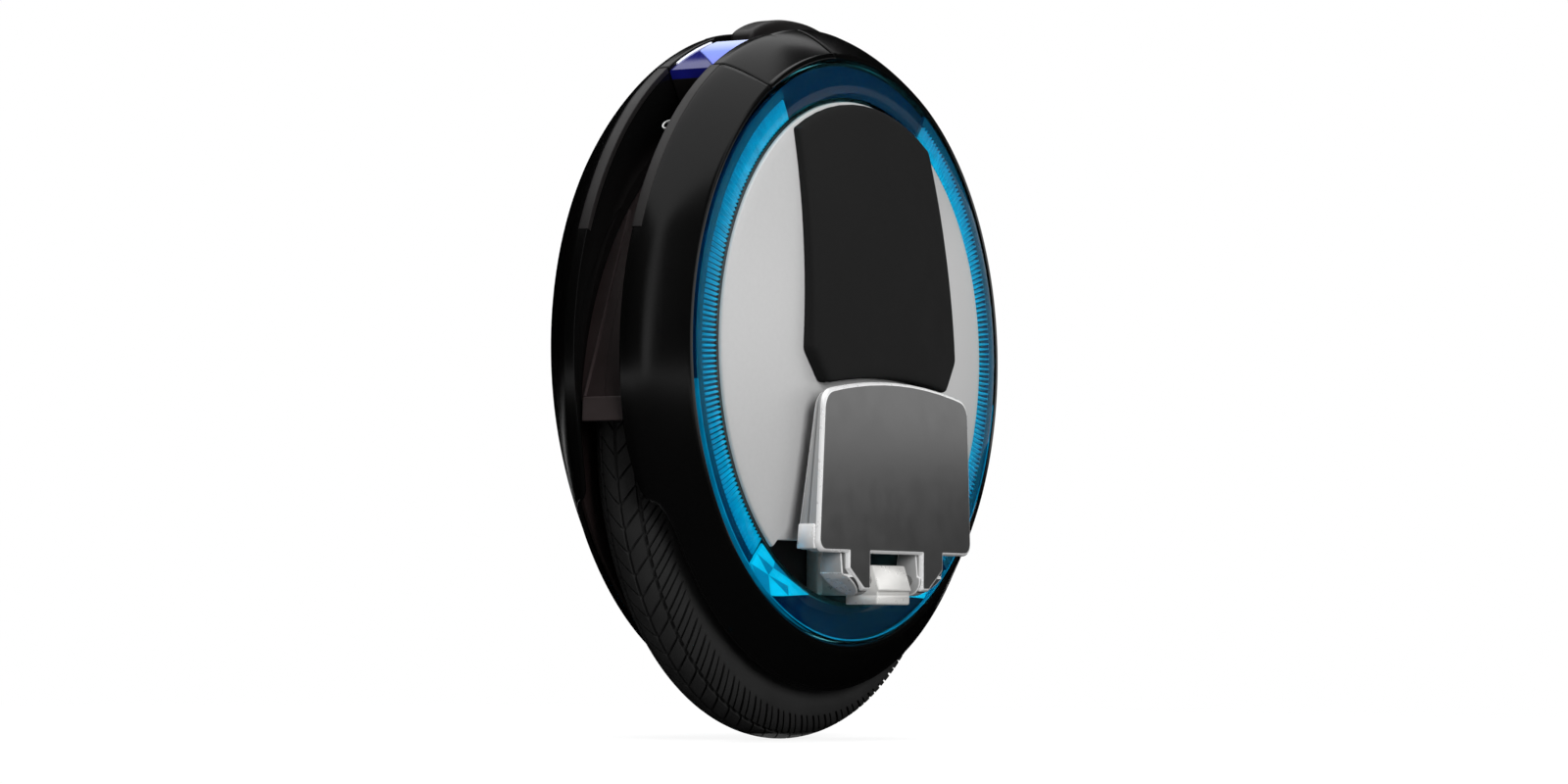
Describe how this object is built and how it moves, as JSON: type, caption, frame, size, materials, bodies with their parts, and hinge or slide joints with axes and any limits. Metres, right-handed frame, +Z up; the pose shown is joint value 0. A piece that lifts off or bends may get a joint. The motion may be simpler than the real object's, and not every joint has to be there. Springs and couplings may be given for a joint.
{
  "type": "electric unicycle",
  "caption": "Self-balancing electric unicycle: a hub-motor wheel between gloss black shells, with blue light rings, silver domed side panels, leg pads, folding pedals and a top carry handle.",
  "frame": {"origin": "on the floor under the middle of the wheel", "axes": "+X along the axle to the rider's left, -Y is the front with the headlight, +Z is up"},
  "size_m": [0.178, 0.45, 0.483],
  "materials": {
    "tyre_rubber": "matte",
    "soft_rubber": "matte",
    "valve_brass": "satin",
    "cast_alloy": "satin",
    "fastener_steel": "brushed",
    "motor_iron": "satin",
    "winding_copper": "satin",
    "frame_plastic": "matte",
    "shell_gloss": "gloss",
    "ring_lens": "clear gloss",
    "guide_clear": "clear gloss",
    "circuit_board": "matte",
    "panel_silver": "satin",
    "pad_foam": "matte",
    "pedal_alloy": "satin",
    "handle_plastic": "satin",
    "headlight_clear": "clear gloss",
    "tail_red": "clear gloss",
    "eyelet_wire": "polished",
    "capacitor_can": "satin"
  },
  "bodies": {
    "chassis": {"motor_cable": "soft_rubber", "stator_hub": "cast_alloy", "heat_sink": "cast_alloy", "axle_washers": "fastener_steel", "axle_nuts": "fastener_steel", "bracket_bolts": "fastener_steel", "pedal_hinge_pins": "fastener_steel", "shell_screws": "fastener_steel", "charge_cap_pin": "fastener_steel", "axle": "fastener_steel", "stator_core": "motor_iron", "stator_windings": "winding_copper", "left_inner_frame": "frame_plastic", "right_inner_frame": "frame_plastic", "handle_well": "frame_plastic", "rear_console": "frame_plastic", "headlight_housing": "frame_plastic", "tail_light_housing": "frame_plastic", "charge_socket": "frame_plastic", "motor_plug": "frame_plastic", "battery_pack": "frame_plastic", "left_shell": "shell_gloss", "right_shell": "shell_gloss", "left_top_cap": "shell_gloss", "right_top_cap": "shell_gloss", "left_light_ring": "ring_lens", "right_light_ring": "ring_lens", "left_light_guide": "guide_clear", "right_light_guide": "guide_clear", "left_led_board": "circuit_board", "right_led_board": "circuit_board", "control_board": "circuit_board", "left_side_panel": "panel_silver", "right_side_panel": "panel_silver", "left_leg_pad": "pad_foam", "right_leg_pad": "pad_foam", "left_pedal_bracket": "pedal_alloy", "right_pedal_bracket": "pedal_alloy", "handle": "handle_plastic", "headlight_lens": "headlight_clear", "tail_light_lens": "tail_red", "strap_eyelet": "eyelet_wire", "capacitors": "capacitor_can"},
    "wheel": {"tyre": "tyre_rubber", "inner_tube": "soft_rubber", "valve_stem": "valve_brass", "rim": "cast_alloy", "motor_cover_bolts": "fastener_steel", "left_motor_cover": "cast_alloy", "right_motor_cover": "cast_alloy", "left_bearing": "fastener_steel", "right_bearing": "fastener_steel", "shaft_seals": "soft_rubber", "magnet_ring": "motor_iron"},
    "left_footrest": {"left_pedal": "pedal_alloy", "left_pedal_grip": "soft_rubber"},
    "right_footrest": {"right_pedal": "pedal_alloy", "right_pedal_grip": "soft_rubber"},
    "button": {"power_button": "handle_plastic"},
    "socket_cap": {"charge_cap": "soft_rubber"}
  },
  "joints": [
    {"name": "wheel_spin", "type": "hinge", "parent": "chassis", "child": "wheel", "pos_m": [0, 0, 0.203], "axis": [1, 0, 0], "continuous": true},
    {"name": "left_pedal_fold", "type": "hinge", "parent": "chassis", "child": "left_footrest", "pos_m": [0.078, 0, 0.106], "axis": [0, 1, 0], "range_deg": [0, 84]},
    {"name": "right_pedal_fold", "type": "hinge", "parent": "chassis", "child": "right_footrest", "pos_m": [-0.078, 0, 0.106], "axis": [0, -1, 0], "range_deg": [0, 84]},
    {"name": "power_button_press", "type": "slide", "parent": "chassis", "child": "button", "axis": [0, -0.7071, -0.7071], "range_m": [0, 0.002], "stiffness_N_per_m": 600, "springref_m": -0.001},
    {"name": "charge_cap_open", "type": "hinge", "parent": "chassis", "child": "socket_cap", "pos_m": [0, 0.17621, 0.38661], "axis": [-1, 0, 0], "range_deg": [0, 110]}
  ]
}
